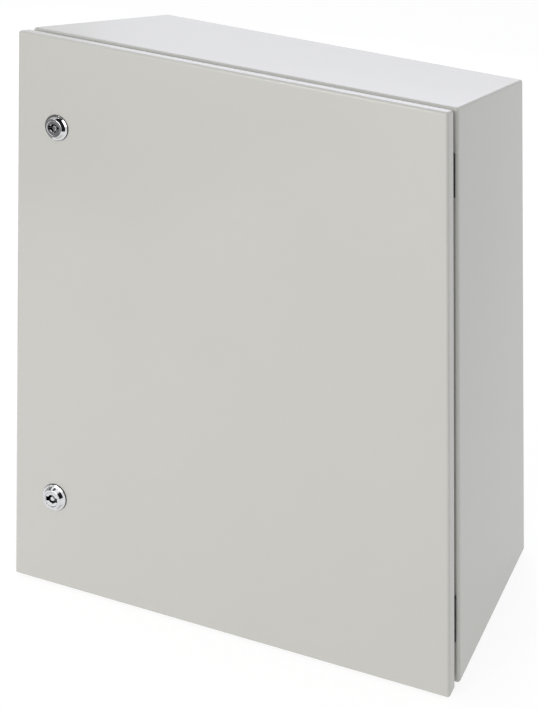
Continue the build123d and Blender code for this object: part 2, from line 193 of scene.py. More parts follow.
@dataclass(frozen=True)
class Finish:
    """A real surface: what it is made of and how it was made.

    The colour drifts to the shade, the roughness by the spread, and the relief is in millimetres.
    """

    name: str
    slot: Slot
    colour: str
    shade: str
    roughness: float
    metallic: float = 0.0
    spread: float = 0.0
    relief: float = 0.01
    relief_strength: float = 0.5

    def material(self) -> bpy.types.Material:
        """Makes this finish's material once, and gives the same one after that."""
        made = bpy.data.materials.get(self.name)
        if made is None:
            made = bpy.data.materials.new(self.name)
            made.use_nodes = True
            made.diffuse_color = linear(self.colour)
            tree = made.node_tree
            shader = tree.nodes["Principled BSDF"]
            fill(tree, shader, {
                "Base Color": linear(self.colour), "Metallic": self.metallic, "Roughness": self.roughness})
            self.pattern(tree, shader, add_node(tree, "TexCoord").outputs["Object"])
        return made

    def pattern(self, tree: bpy.types.NodeTree, shader: bpy.types.Node, place: Socket) -> None:
        """Adds this finish's own unevenness.

        Args:
            tree: The material's node tree.
            shader: Its shader.
            place: Where a point is on the piece, in metres.
        """
        raise NotImplementedError

    def dress(
        self, tree: bpy.types.NodeTree, shader: bpy.types.Node, tone: Socket, height: Socket,
        gloss: Socket | None = None, gloss_span: tuple[float, float] = (0.3, 0.7),
    ) -> None:
        """Lets patterns drive the surface's colour, relief and gloss.

        Args:
            tree: The material's node tree.
            shader: Its shader.
            tone: 0 for the colour and 1 for the shade.
            height: The height of the relief, from 0 to 1.
            gloss: What the roughness follows, if it varies.
            gloss_span: The lowest and highest gloss.
        """
        colour = add_node(tree, "Mix", {
            "Factor": tone, 6: linear(self.colour), 7: linear(self.shade)}, data_type="RGBA")
        bump = add_node(tree, "Bump", {
            "Height": height, "Strength": self.relief_strength, "Distance": self.relief * MILLIMETRE})
        fill(tree, shader, {"Base Color": colour.outputs[2], "Normal": bump.outputs[0]})
        if gloss is not None:
            rough = add_node(tree, "MapRange", {
                "Value": gloss, "From Min": gloss_span[0], "From Max": gloss_span[1],
                "To Min": max(self.roughness - self.spread, 0.02), "To Max": self.roughness + self.spread})
            fill(tree, shader, {"Roughness": rough.outputs[0]})


@dataclass(frozen=True)
class PowderCoat(Finish):
    """Polyester powder melted on sheet steel: a satin skin with a low orange peel.

    The peel breaks a reflection into soft patches, and the film is a little thicker in places.
    """

    peel_pitch: float = 2.6
    # Real grit is about 0.1 mm, too fine to show here, so it is drawn coarser.
    grit_pitch: float = 0.9
    grit_share: float = 0.3
    cloud_pitch: float = 170.0
    cloud_tone: float = 0.35
    skin_gloss: float = 0.62
    skin_roughness: float = 0.17

    def pattern(self, tree: bpy.types.NodeTree, shader: bpy.types.Node, place: Socket) -> None:
        """Adds the peel, the fine grit and the faint clouds of the film.

        Args:
            tree: The material's node tree.
            shader: Its shader.
            place: Where a point is on the piece, in metres.
        """
        fill(tree, shader, {"Coat Weight": self.skin_gloss, "Coat Roughness": self.skin_roughness})
        peel, grit, cloud = (
            add_node(tree, "TexNoise", {
                "Vector": place, "Scale": 1 / (pitch * MILLIMETRE), "Detail": detail}).outputs["Fac"]
            for pitch, detail in ((self.peel_pitch, 1.0), (self.grit_pitch, 1.0), (self.cloud_pitch, 3.0)))
        height = add_node(tree, "Math", {0: grit, 1: self.grit_share, 2: peel}, operation="MULTIPLY_ADD")
        tone = add_node(tree, "MapRange", {
            "Value": cloud, "From Min": 0.3, "From Max": 0.7, "To Max": self.cloud_tone})
        self.dress(tree, shader, tone.outputs[0], height.outputs[0], grit)


@dataclass(frozen=True)
class PlatedMetal(Finish):
    """A thin metal layer on steel or zinc, over whatever the part's surface was.

    Plating keeps the tool marks and the casting skin under it, so its shine is never even.
    """

    stain_pitch: float = 9.0
    # The real skin's unevenness is about 0.3 mm, too fine to show here, so it is drawn coarser.
    skin_pitch: float = 1.4

    def pattern(self, tree: bpy.types.NodeTree, shader: bpy.types.Node, place: Socket) -> None:
        """Adds the stains of the plating bath and the skin of the metal below.

        Args:
            tree: The material's node tree.
            shader: Its shader.
            place: Where a point is on the piece, in metres.
        """
        stain, skin = (
            add_node(tree, "TexNoise", {
                "Vector": place, "Scale": 1 / (pitch * MILLIMETRE), "Detail": detail}).outputs["Fac"]
            for pitch, detail in ((self.stain_pitch, 4.0), (self.skin_pitch, 2.0)))
        tone = add_node(tree, "MapRange", {"Value": stain, "From Min": 0.35, "From Max": 0.65})
        self.dress(tree, shader, tone.outputs[0], skin, stain)


@dataclass(frozen=True)
class SpangledZinc(Finish):
    """Hot-dip galvanised sheet: zinc that froze into flat crystals, each with its own shine."""

    spangle: float = 7.0
    spangle_tone: float = 0.8
    drift_pitch: float = 4.0
    drift: float = 2.5
    # Rolling leaves streaks of about 0.1 mm, too fine to show here, so they are drawn coarser.
    streak_pitches: tuple[float, float, float] = (1.2, 2.5, 1000 / 6)
    streak_share: float = 0.3

    def pattern(self, tree: bpy.types.NodeTree, shader: bpy.types.Node, place: Socket) -> None:
        """Adds the crystals, and the fine streaks that rolling leaves along the sheet.

        Args:
            tree: The material's node tree.
            shader: Its shader.
            place: Where a point is on the piece, in metres.
        """
        wave = add_node(tree, "TexNoise", {
            "Vector": place, "Scale": 1 / (self.drift_pitch * MILLIMETRE), "Detail": 2.0})
        bent = add_node(tree, "VectorMath", {
            0: wave.outputs["Color"], 1: [self.drift * MILLIMETRE] * 3, 2: place}, operation="MULTIPLY_ADD")
        crystals = add_node(tree, "TexVoronoi", {
            "Vector": bent.outputs[0], "Scale": 1 / (self.spangle * MILLIMETRE)})
        parts = add_node(tree, "SeparateColor", {0: crystals.outputs["Color"]}).outputs
        rolled = add_node(tree, "Mapping", {
            "Vector": place, "Scale": [1 / (pitch * MILLIMETRE) for pitch in self.streak_pitches]})
        streak = add_node(tree, "TexNoise", {"Vector": rolled.outputs[0], "Scale": 1.0, "Detail": 2.0})
        tone = add_node(tree, "MapRange", {"Value": parts[0], "To Max": self.spangle_tone})
        both = add_node(tree, "Math", {
            0: streak.outputs["Fac"], 1: self.streak_share, 2: tone.outputs[0]}, operation="MULTIPLY_ADD")
        self.dress(tree, shader, both.outputs[0], parts[2], parts[1], (0.0, 1.0))


@dataclass(frozen=True)
class Polymer(Finish):
    """Moulded or foamed rubbery material, or a black satin coat, by the size of its grain."""

    # Real pores and grain are 0.1 to 0.4 mm, too fine to show here, so they are drawn coarser.
    grain: float = 1.0
    dust_pitch: float = 12.0
    dust_tone: float = 0.6
    shine: float = 0.3
    relief_strength: float = 0.6

    def pattern(self, tree: bpy.types.NodeTree, shader: bpy.types.Node, place: Socket) -> None:
        """Adds the grain and the dusty patches that a matt black surface always shows.

        Args:
            tree: The material's node tree.
            shader: Its shader.
            place: Where a point is on the piece, in metres.
        """
        fill(tree, shader, {"Specular IOR Level": self.shine})
        grain, dust = (
            add_node(tree, "TexNoise", {
                "Vector": place, "Scale": 1 / (pitch * MILLIMETRE), "Detail": detail}).outputs["Fac"]
            for pitch, detail in ((self.grain, 2.0), (self.dust_pitch, 3.0)))
        tone = add_node(tree, "MapRange", {
            "Value": dust, "From Min": 0.35, "From Max": 0.75, "To Max": self.dust_tone})
        self.dress(tree, shader, tone.outputs[0], grain)


# Polyester powder baked on steel: a satin skin that melts every reflection into soft patches.
GREY_COAT = PowderCoat("light grey powder coat", Slot.POWDER_COAT, "C8C8C2", "C3C3BD", 0.42,
                       spread=0.03, relief=0.012)
# Hot-dip galvanised sheet: flat crystals, each with a grey and a shine of its own.
GALVANISED = SpangledZinc("galvanised sheet", Slot.GALVANISED, "C5C7C8", "ADB0B2", 0.36, 1.0,
                          spread=0.08, relief=0.02, relief_strength=0.25)
# Electroplated zinc, left bright: cool silver with faint stains from the bath.
ZINC_PLATE = PlatedMetal("bright zinc plate", Slot.ZINC_PLATE, "CDD0D2", "B9BCBE", 0.28, 1.0, spread=0.06)
# Chrome over a polished casting: nearly a mirror, so it shows the studio in black and white.
CHROME = PlatedMetal("polished chrome on die-cast zinc", Slot.CHROME, "DCDDDF", "D2D3D6", 0.07, 1.0,
                     spread=0.02, relief=0.006, stain_pitch=5.0, skin_pitch=2.2)
# Black coat on the hinges' steel: so little shine that they read as dark strips in the gap.
BLACK_COAT = Polymer("black satin coat on steel", Slot.BLACK_COAT, "070708", "0E0E0F", 0.5,
                     grain=0.8, shine=0.12)
# Polyurethane foamed in place: a dull dark grey skin with shallow pores.
FOAM = Polymer("foamed polyurethane", Slot.FOAM, "212122", "2C2C2D", 0.85, relief=0.12, grain=1.3)
# Moulded rubber: matt black with a fine grain and a little dust on it.
RUBBER = Polymer("moulded black rubber", Slot.RUBBER, "101011", "1A1A1B", 0.62, relief=0.02, grain=0.9)


def at(x: float, y: float, z: float) -> Matrix:
    """A move to a place in millimetres."""
    return Matrix.Translation((x, y, z))


def angles(end: float, steps: int) -> list[float]:
    """Even steps from 0 to an angle in radians."""
    return [end * step / steps for step in range(steps + 1)]


def block(low: Sequence[float], high: Sequence[float], into: Shape | None = None) -> Shape:
    """A box between two corners.

    Args:
        low: Its lowest corner.
        high: Its highest corner.
        into: The shape that gets the box, where it isn't a new one.

    Returns:
        The shape.
    """
    shape = bmesh.new() if into is None else into
    low_corner = Vector(low)
    high_corner = Vector(high)
    place = Matrix.Translation((low_corner + high_corner) / 2)
    stretch = Matrix.Diagonal((*(high_corner - low_corner), 1.0))
    bmesh.ops.create_cube(shape, size=1.0, matrix=place @ stretch)
    return shape


def rod(radius: float, start: float, end: float, sides: int = 32) -> Shape:
    """A round or many-sided bar along Z.

    Args:
        radius: From the axis to a corner.
        start: Where it starts along Z.
        end: Where it ends.
        sides: How many sides it has.

    Returns:
        The bar.
    """
    shape = bmesh.new()
    bmesh.ops.create_cone(
        shape, cap_ends=True, cap_tris=False, segments=sides, radius1=radius, radius2=radius,
        depth=end - start, matrix=Matrix.Translation((0, 0, (start + end) / 2)))
    return shape


def rounded(
    shape: Shape, parts: Sequence, radius: float, steps: int = 6, affect: str = "EDGES",
    clamped: bool = False,
) -> Shape:
    """Rounds some of a shape's edges or vertices.

    Args:
        shape: The shape.
        parts: The edges or vertices.
        radius: How far the rounding reaches.
        steps: How many steps it takes.
        affect: "EDGES" or "VERTICES".
        clamped: True if the reach gives way where edges are close.

    Returns:
        The same shape.
    """
    bmesh.ops.bevel(shape, geom=parts, offset=radius, offset_type="OFFSET", segments=steps,
                    profile=0.5, affect=affect, material=-1, clamp_overlap=clamped)
    return shape


def slab(low: Sequence[float], high: Sequence[float], corner: float) -> Shape:
    """A box with its four upright edges rounded.

    Args:
        low: Its lowest corner.
        high: Its highest corner.
        corner: Radius of the upright edges.

    Returns:
        The slab.
    """
    shape = block(low, high)
    upright = [edge for edge in shape.edges if abs(edge.verts[0].co.z - edge.verts[1].co.z) > 0.5]
    return rounded(shape, upright, corner)


def turned(profile: Sequence[tuple[float, float]], steps: int, closed: bool = False) -> Shape:
    """Turns a line about the Z axis, as a lathe does.

    Args:
        profile: Radius and height of each point along the line.
        steps: How many steps a full turn takes.
        closed: True if the last point joins the first.

    Returns:
        The turned shape, closed where its line meets the axis.
    """
    shape = bmesh.new()
    points = [shape.verts.new((radius, 0, height)) for radius, height in profile]
    line = [shape.edges.new(pair) for pair in zip(points, points[1:])]
    if closed:
        line.append(shape.edges.new((points[-1], points[0])))
    bmesh.ops.spin(shape, geom=points + line, cent=(0, 0, 0), axis=(0, 0, 1),
                   angle=2 * math.pi, steps=steps, use_merge=True)
    bmesh.ops.remove_doubles(shape, verts=shape.verts, dist=WELD)
    bmesh.ops.recalc_face_normals(shape, faces=shape.faces)
    return shape


def thread_line(radius: float, start: float, end: float, pitch: float) -> list[tuple[float, float]]:
    """The outline of a screw thread, drawn as rings, which look like the helix at this size.

    Args:
        radius: Outside radius.
        start: Where the thread starts along the axis.
        end: Where it ends.
        pitch: From one crest to the next.

    Returns:
        Radius and height of each point.
    """
    groove = radius - 0.6 * pitch
    turns = max(1, round((end - start) / pitch))
    step = (end - start) / turns
    points = []
    for turn in range(turns):
        base = start + turn * step
        points += [(groove, base), (radius, base + 0.42 * step), (radius, base + 0.58 * step)]
    return [*points, (groove, end)]


@dataclass(frozen=True)
class Station:
    """One ring of a folded shell: how far in from its outline, at what depth, and its corners."""

    inset: float
    depth: float
    corner: float


def round_bend(radius: float, face: float, towards: int, corner: float) -> list[Station]:
    """The rings of a bend from a wall to a face, with a ball corner where three bends meet.

    Args:
        radius: Outside radius of the bend.
        face: Depth of the face.
        towards: 1 where the walls go to greater depth from the face, -1 where to less.
        corner: Radius of the upright and level edges where two walls meet.

    Returns:
        The rings from the wall to the face.
    """
    return [
        Station(radius * (1 - math.cos(angle)), face + towards * radius * (1 - math.sin(angle)),
                max(corner * math.cos(angle), 0.3))
        for angle in angles(math.pi / 2, 6)
    ]


def add_ring(shape: Shape, box: Box, station: Station) -> list[bmesh.types.BMEdge]:
    """Adds an upright rounded rectangle of edges.

    Args:
        shape: The shape that gets it.
        box: The box whose outline it follows.
        station: The ring's inset, depth and corner.

    Returns:
        The ring's edges.
    """
    half_x = box.size.x / 2 - station.inset
    half_z = box.size.z / 2 - station.inset
    before = set(shape.faces)
    corners = [
        shape.verts.new((box.middle.x + side * half_x, station.depth, box.middle.z + end * half_z))
        for side, end in ((1, 1), (-1, 1), (-1, -1), (1, -1))
    ]
    shape.faces.new(corners)
    rounded(shape, corners, station.corner, affect="VERTICES")
    made = [face for face in shape.faces if face not in before]
    edges = list({edge for face in made for edge in face.edges})
    bmesh.ops.delete(shape, geom=made, context="FACES_ONLY")
    return edges


def lofted(box: Box, stations: Sequence[Station], capped: bool = False, looped: bool = False) -> Shape:
    """Joins rounded rectangles into a shell.

    Args:
        box: The box whose outline they follow.
        stations: The rings in order.
        capped: True if the last ring is filled.
        looped: True if the last ring joins the first.

    Returns:
        The shell, its faces pointing outwards.
    """
    shape = bmesh.new()
    rings = [add_ring(shape, box, station) for station in stations]
    if looped:
        rings.append(rings[0])
    for one, other in zip(rings, rings[1:]):
        bmesh.ops.bridge_loops(shape, edges=one + other)
    if capped:
        bmesh.ops.edgeloop_fill(shape, edges=rings[-1])
    bmesh.ops.recalc_face_normals(shape, faces=shape.faces)
    return shape


def risen(shape: Shape, grown: dict[str, list], rise: float) -> Shape:
    """Lifts what was just extruded, and turns the shape's faces outwards.

    Args:
        shape: The shape.
        grown: What the extrusion gave.
        rise: How far it goes up.

    Returns:
        The same shape.
    """
    top = [item for item in grown["geom"] if isinstance(item, bmesh.types.BMVert)]
    bmesh.ops.translate(shape, verts=top, vec=(0, 0, rise))
    bmesh.ops.recalc_face_normals(shape, faces=shape.faces)
    return shape


def linked(name: str, shape: Shape) -> bpy.types.Object:
    """Makes an object of a shape and puts it in the scene.

    Args:
        name: The object's name.
        shape: Its shape, which is freed.

    Returns:
        The object.
    """
    mesh = bpy.data.meshes.new(name)
    shape.to_mesh(mesh)
    shape.free()
    made = bpy.data.objects.new(name, mesh)
    bpy.context.scene.collection.objects.link(made)
    return made


def discard(work: bpy.types.Object) -> None:
    """Deletes an object that was only needed for a step, with its mesh."""
    mesh = work.data
    bpy.data.objects.remove(work)
    bpy.data.meshes.remove(mesh)


def through(shape: Shape, kind: str, **settings: Any) -> Shape:
    """Passes a shape through one modifier.

    Args:
        shape: The shape, which is freed.
        kind: The modifier's type, such as "SOLIDIFY".
        settings: The modifier's settings.

    Returns:
        The changed shape.
    """
    work = linked("work", shape)
    modifier = work.modifiers.new("work", kind)
    for name, value in settings.items():
        setattr(modifier, name, value)
    changed = bmesh.new()
    changed.from_mesh(work.evaluated_get(bpy.context.evaluated_depsgraph_get()).to_mesh())
    discard(work)
    return changed


def thickened(shape: Shape, sheet: float) -> Shape:
    """Gives a shell of outside faces the thickness of its sheet, inwards."""
    return through(shape, "SOLIDIFY", thickness=sheet, offset=-1.0, use_even_offset=True,
                   use_quality_normals=True, use_rim=True)


def combined(shape: Shape, tool: Shape, operation: str = "DIFFERENCE") -> Shape:
    """Cuts a shape with another, joins the two or keeps what they share.

    Args:
        shape: The shape, which is freed.
        tool: The other shape, which is freed.
        operation: "DIFFERENCE", "UNION" or "INTERSECT".

    Returns:
        The combined shape, without the slivers that the cut leaves.
    """
    cutter = linked("tool", tool)
    result = through(shape, "BOOLEAN", object=cutter, operation=operation, solver="EXACT")
    discard(cutter)
    bmesh.ops.remove_doubles(result, verts=result.verts, dist=WELD)
    bmesh.ops.dissolve_degenerate(result, edges=result.edges, dist=WELD)
    return result


def moved(shape: Shape, place: Matrix) -> Shape:
    """Moves a whole shape and gives it back."""
    bmesh.ops.transform(shape, matrix=place, verts=shape.verts)
    return shape


def merged(shape: Shape, other: Shape) -> Shape:
    """Puts another shape into a shape's mesh as it is.

    Args:
        shape: The shape that gets it.
        other: The other shape, which is freed.

    Returns:
        The first shape.
    """
    mesh = bpy.data.meshes.new("other")
    other.to_mesh(mesh)
    other.free()
    shape.from_mesh(mesh)
    bpy.data.meshes.remove(mesh)
    return shape


def at_each(places: Iterable[Matrix], shape: Shape) -> Shape:
    """Copies of a shape at each place, in one mesh.

    Args:
        places: Where the copies go.
        shape: The shape, which is freed.

    Returns:
        The copies.
    """
    mesh = bpy.data.meshes.new("copies")
    shape.to_mesh(mesh)
    shape.free()
    copies = bmesh.new()
    for place in places:
        known = len(copies.verts)
        copies.from_mesh(mesh)
        copies.verts.ensure_lookup_table()
        bmesh.ops.transform(copies, matrix=place, verts=copies.verts[known:])
    bpy.data.meshes.remove(mesh)
    return copies


def softened(shape: Shape, radius: float) -> Shape:
    """Rounds a shape's sharp edges a little, as tumbling, coating or a folded sheet does."""
    sharp = [edge for edge in shape.edges
             if len(edge.link_faces) == 2 and edge.calc_face_angle(0) > SMOOTH_BELOW]
    return rounded(shape, sharp, radius, steps=2, clamped=True)


def finished(name: str, shape: Shape, finish: Finish, body: Body, node: str) -> None:
    """Makes a piece of a shape: metres, shading, finish, and the body that it rides on.

    Args:
        name: The piece's name.
        shape: Its shape in millimetres, which is freed.
        finish: Its surface.
        body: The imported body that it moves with.
        node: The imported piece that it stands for.
    """
    moved(shape, Matrix.Scale(MILLIMETRE, 4))
    for face in shape.faces:
        face.smooth = True
    for edge in shape.edges:
        edge.smooth = len(edge.link_faces) == 2 and edge.calc_face_angle(0) < SMOOTH_BELOW
    piece = linked(name, shape)
    piece.data.materials.append(finish.material())
    weighted = piece.modifiers.new("flat faces stay flat", "WEIGHTED_NORMAL")
    weighted.keep_sharp = True
    weighted.weight = 100
    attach(piece, body.value)
    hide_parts(node)
    corners = np.array([vertex.co for vertex in piece.data.vertices]) / MILLIMETRE
    box = Box.of(node)
    off = max(np.abs(corners.min(axis=0) - box.low).max(), np.abs(corners.max(axis=0) - box.high).max())
    LOG.info("%-28s %6d faces, box within %.2f mm", name, len(piece.data.polygons), off)


def hex_bar(flats: float, start: float, end: float) -> Shape:
    """A hexagonal bar along Z with its six corners turned off at both ends, as nuts have.

    Args:
        flats: Across two opposite sides.
        start: Where it starts.
        end: Where it ends.

    Returns:
        The bar.
    """
    corner = flats / math.sqrt(3)
    clear = corner + 0.1
    face = 0.96 * flats / 2
    run = 0.12 * flats / 2
    bar = rod(corner, start, end, sides=6)
    bmesh.ops.rotate(bar, verts=bar.verts, cent=(0, 0, 0), matrix=Matrix.Rotation(math.pi / 6, 3, "Z"))
    cone = turned([
        (0, start), (face, start), (clear, start + run), (clear, end - run), (face, end), (0, end)], 64)
    return combined(bar, cone, "INTERSECT")


def hex_nut(flats: float, hole: float, start: float, end: float) -> Shape:
    """A nut along Z, with a chamfered hole.

    Args:
        flats: Across two opposite sides.
        hole: Radius of its thread.
        start: Where it starts.
        end: Where it ends.

    Returns:
        The nut.
    """
    lead = 0.12 * hole
    mouth = hole + lead + 0.5
    bore = turned([
        (0, start - 0.5), (mouth, start - 0.5), (hole, start + lead),
        (hole, end - lead), (mouth, end + 0.5), (0, end + 0.5)], 32)
    return combined(hex_bar(flats, start, end), bore)


def stud(radius: float, start: float, end: float, pitch: float = 1.0) -> Shape:
    """A threaded stud along Z with a pointed-off free end.

    Args:
        radius: Outside radius of the thread.
        start: Its welded end.
        end: Its free end.
        pitch: The thread's pitch.

    Returns:
        The stud.
    """
    rise = math.copysign(pitch, end - start)
    threads = thread_line(radius, start + rise, end - rise, rise)
    return turned([(0, start), (radius, start), *threads, (0.78 * radius, end), (0, end)], 24)


def ring(
    outer: float, inner: float, start: float, end: float, edge: float = 0.25, steps: int = 40,
) -> Shape:
    """A washer, a spacer or a flat seal along Z, its edges broken.

    Args:
        outer: Outside radius.
        inner: Inside radius.
        start: Where it starts.
        end: Where it ends.
        edge: Size of the broken edges.
        steps: How many steps a full turn takes.

    Returns:
        The ring.
    """
    return turned([
        (inner, start + edge), (inner + edge, start), (outer - edge, start), (outer, start + edge),
        (outer, end - edge), (outer - edge, end), (inner + edge, end), (inner, end - edge)], steps, True)


@dataclass
class Studio:
    """Camera, lamps, floor and the white round them.

    The photograph was straightened by a slant after it was taken: its uprights are parallel
    while everything else keeps its perspective. The camera stands on a slanted mount for that.
    """

    camera_place: tuple[float, float, float] = (613.07, -1061.45, 820.58)
    lens: float = 58.02
    ahead: tuple[float, float] = (-30.9, -25.11)
    right: tuple[float, float] = (81.21, 8.95)
    up: tuple[float, float] = (152.5, 88.96)
    floor_size: float = 24000.0
    floor_drop: float = 0.5
    ambient: float = 0.513
    floor_glow: tuple[float, float] = (0.7, 1.17)
    floor_glow_share: tuple[float, float] = (0.4, 0.7)

    @staticmethod
    def direction(azimuth: float, elevation: float) -> Vector:
        """A unit vector from the angle right of straight ahead and the angle above level."""
        turn = math.radians(azimuth)
        rise = math.radians(elevation)
        return Vector((math.sin(turn) * math.cos(rise), math.cos(turn) * math.cos(rise), math.sin(rise)))

    def build(self) -> None:
        """Builds the studio."""
        self.add_camera()
        self.add_world()
        self.add_floor()
        self.add_lamps()
        self.add_flags()
        bpy.context.scene.view_settings.view_transform = "Standard"

    def add_camera(self) -> None:
        """Puts the camera where the photograph was taken from.

        Its three axes aren't square to each other, so they are split into a turn, a stretch
        and another turn: the mount takes the first two and the camera the last.
        """
        axes = np.array([
            self.direction(*self.right), self.direction(*self.up), -self.direction(*self.ahead)]).T
        turn, stretch, inner = np.linalg.svd(axes)
        if np.linalg.det(turn) < 0:
            turn[:, 2] *= -1
            inner[2] *= -1
        mount = bpy.data.objects.new("slanted mount", None)
        mount.matrix_world = (Matrix.Translation(Vector(self.camera_place) * MILLIMETRE)
                              @ Matrix(turn.tolist()).to_4x4() @ Matrix.Diagonal((*stretch, 1.0)))
        camera = bpy.data.objects.new("camera", bpy.data.cameras.new("camera"))
        for item in (mount, camera):
            bpy.context.scene.collection.objects.link(item)
        camera.parent = mount
        camera.matrix_parent_inverse = Matrix.Identity(4)
        camera.matrix_basis = Matrix(inner.tolist()).to_4x4()
        camera.data.lens = self.lens
        camera.data.clip_start = 0.01
        bpy.context.scene.camera = camera

    @staticmethod
    def looked_at(tree: bpy.types.NodeTree, *rays: str) -> Socket:
        """Gives 1 where one of some kinds of ray arrives, and otherwise 0.

        Args:
            tree: The tree that gets the nodes.
            rays: The outputs of Light Path for these kinds of ray.

        Returns:
            The output with that number.
        """
        path = add_node(tree, "LightPath")
        seen = path.outputs[rays[0]]
        for ray in rays[1:]:
            seen = add_node(tree, "Math", {0: seen, 1: path.outputs[ray]}, operation="MAXIMUM").outputs[0]
        return seen

    def add_world(self) -> None:
        """A white background, which metal also shows, and a dimmer even light from all round."""
        world = bpy.data.worlds.new("studio")
        world.use_nodes = True
        bpy.context.scene.world = world
        tree = world.node_tree
        tree.nodes.clear()
        seen = self.looked_at(tree, "Is Camera Ray", "Is Glossy Ray", "Is Transmission Ray")
        dim = add_node(tree, "Background", {"Color": linear("FCFCFD"), "Strength": self.ambient})
        white = add_node(tree, "Background", {"Color": linear("FFFFFF"), "Strength": 1.0})
        mixed = add_node(tree, "MixShader", {0: seen, 1: dim.outputs[0], 2: white.outputs[0]})
        add_node(tree, "OutputWorld", {"Surface": mixed.outputs[0]})

    def add_floor(self) -> None:
        """A plain pale floor that keeps a soft shadow and is otherwise as white as the background.

        Part of its light is its own: one share where it lights the enclosure, another where it is seen.
        """
        paper = bpy.data.materials.new("white studio paper")
        paper.use_nodes = True
        tree = paper.node_tree
        tree.nodes.clear()
        seen = self.looked_at(tree, "Is Camera Ray", "Is Glossy Ray")
        share, strength = (
            add_node(tree, "MapRange", {"Value": seen, "To Min": lighting, "To Max": looking}).outputs[0]
            for lighting, looking in (self.floor_glow_share, self.floor_glow))
        diffuse = add_node(tree, "BsdfDiffuse", {"Color": linear("F7F7F7")})
        glow = add_node(tree, "Emission", {"Color": linear("FFFFFF"), "Strength": strength})
        mixed = add_node(tree, "MixShader", {0: share, 1: diffuse.outputs[0], 2: glow.outputs[0]})
        add_node(tree, "OutputMaterial", {"Surface": mixed.outputs[0]})
        shape = bmesh.new()
        bmesh.ops.create_grid(shape, x_segments=1, y_segments=1, size=self.floor_size / 2 * MILLIMETRE,
                              matrix=Matrix.Translation((0, 0, -self.floor_drop * MILLIMETRE)))
        floor = linked("floor", shape)
        floor.data.materials.append(paper)

    def add_lamps(self) -> None:
        """Large soft lamps: a bright ceiling, one behind, one far in front and one on the left.

        The one on the left draws the thin bright lines along the bends.
        """
        ceiling = bpy.data.lights.new("bright ceiling", "SUN")
        ceiling.angle = math.radians(80)
        self.hang(ceiling, (-500, 300, 3000), 0.29, "EBECFF")
        for name, place, width, height, watts, tint in (
            ("softbox behind", (-1200, 2600, 2300), 2200, 2200, 20.0, "EBECFF"),
            ("softbox in front", (0, -9000, 1200), 5000, 5000, 262.0, "FFFCFB"),
            ("softbox on the left", (-2300, -4700, 1500), 1100, 2400, 54.0, "FFFCFB"),
        ):
            softbox = bpy.data.lights.new(name, "AREA")
            softbox.shape = "RECTANGLE"
            softbox.size = width * MILLIMETRE
            softbox.size_y = height * MILLIMETRE
            self.hang(softbox, place, watts, tint)

    @staticmethod
    def hang(light: bpy.types.Light, place: Sequence[float], energy: float, tint: str) -> None:
        """Hangs a lamp at a place, turned towards the enclosure's middle.

        Args:
            light: The lamp.
            place: Where it hangs, in millimetres.
            energy: How much light it gives, in watts, or in watts a square metre for a sun.
            tint: The light's colour.
        """
        light.energy = energy
        light.color = linear(tint)[:3]
        lamp = bpy.data.objects.new(light.name, light)
        towards = Vector((0, 0, 300)) - Vector(place)
        lamp.visible_camera = False
        lamp.matrix_world = (Matrix.Translation(Vector(place) * MILLIMETRE)
                             @ towards.to_track_quat("-Z", "Y").to_matrix().to_4x4())
        bpy.context.scene.collection.objects.link(lamp)

    def add_flags(self) -> None:
        """Dark and grey cards that show only in reflections, as the unlit part of a studio does."""
        for name, colour, low, high in (
            ("flag on the right", "101010", (700, -640, 0), (710, -130, 1800)),
            ("flag overhead", "101010", (-800, -540, 1800), (700, -60, 1810)),
            ("small flag overhead", "202020", (-1500, -600, 1800), (-850, -400, 1810)),
            ("flag in front", "101010", (-2000, -2610, 1230), (-650, -2600, 1700)),
            ("grey card on the left", "7C7B79", (-2600, -2600, 20), (-800, -1000, 30)),
            ("grey card beside", "8A8987", (-1600, -420, 20), (-780, 100, 30)),
            ("grey wall on the left", "8A8987", (-1510, -1900, 300), (-1500, -700, 1600)),
            ("low grey wall on the left", "8A8987", (-1510, -700, 0), (-1500, 300, 1400)),
            ("grey card in front", "7C7B79", (0, -2580, 20), (1400, -1200, 30)),
            ("grey wall in front", "7C7B79", (0, -2610, 60), (1400, -2600, 1700)),
        ):
            cloth = bpy.data.materials.new(name)
            cloth.use_nodes = True
            tree = cloth.node_tree
            fill(tree, tree.nodes["Principled BSDF"], {"Base Color": linear(colour), "Roughness": 1.0})
            card = linked(name, moved(block(low, high), Matrix.Scale(MILLIMETRE, 4)))
            card.data.materials.append(cloth)
            for ray in ("camera", "diffuse", "shadow", "transmission"):
                setattr(card, f"visible_{ray}", False)


@dataclass
class FoldedSheet:
    """A sheet with a face at the front or back of its box, its edges folded to the other side."""

    box: Box
    sheet: float
    bend: float
    face_in_front: bool

    def depths(self) -> list[float]:
        """Where the face is along Y, and where the folded edges end."""
        return sorted(self.box.span(), reverse=not self.face_in_front)


@dataclass
class FoldedPan(FoldedSheet):
    """A shallow pan of folded sheet, its corners welded and ground round."""

    corner: float

    def shape(self) -> Shape:
        """Builds the pan in place."""
        face, edge = self.depths()
        towards = 1 if self.face_in_front else -1
        stations = [Station(0, edge, self.corner),
                    *round_bend(self.bend + self.sheet, face, towards, self.corner)]
        return thickened(lofted(self.box, stations, capped=True), self.sheet)


@dataclass
class FoldedChannel(FoldedSheet):
    """A strip of sheet with its two long edges folded the same way."""

    def shape(self) -> Shape:
        """Builds the channel in place, upright."""
        face, edge = self.depths()
        low = self.box.low
        high = self.box.high
        shape = bmesh.new()
        points = [shape.verts.new((x, y, low.z)) for x, y in (
            (low.x, edge), (low.x, face), (high.x, face), (high.x, edge))]
        for pair in zip(points, points[1:]):
            shape.edges.new(pair)
        rounded(shape, points[1:3], self.bend + self.sheet, 5, "VERTICES")
        swept = bmesh.ops.extrude_edge_only(shape, edges=shape.edges)
        return thickened(risen(shape, swept, high.z - low.z), self.sheet)


